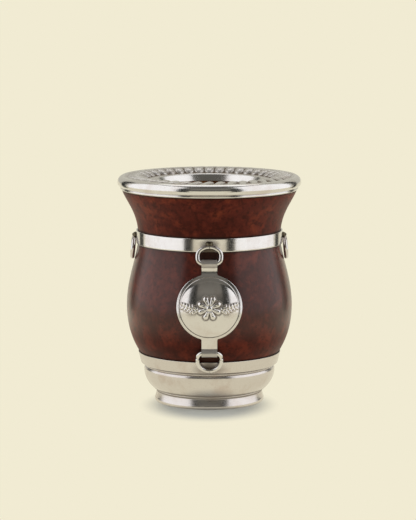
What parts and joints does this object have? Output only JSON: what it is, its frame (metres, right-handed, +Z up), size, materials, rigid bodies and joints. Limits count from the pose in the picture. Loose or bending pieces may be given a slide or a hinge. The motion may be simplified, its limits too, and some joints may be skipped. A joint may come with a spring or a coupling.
{
  "type": "mate cup",
  "caption": "Gourd cup with a flared neck, chased metal rim, neck band with rings, front medallion on a strap, and a stepped metal base cup on a foot ring.",
  "frame": {"origin": "centre of the foot ring's underside, on the cup's axis", "axes": "+Z up along the cup's axis; the medallion faces -Y and the side rings are at -X and +X"},
  "size_m": [0.09, 0.09, 0.1121],
  "materials": {
    "gourd": "satin",
    "nickel_silver": "polished"
  },
  "bodies": {
    "root": {"gourd": "gourd", "rim": "nickel_silver", "neck_band": "nickel_silver", "base_cup": "nickel_silver", "foot_ring": "nickel_silver", "medallion": "nickel_silver", "upper_ring": "nickel_silver", "lower_ring": "nickel_silver", "left_ring": "nickel_silver", "right_ring": "nickel_silver"}
  },
  "joints": []
}
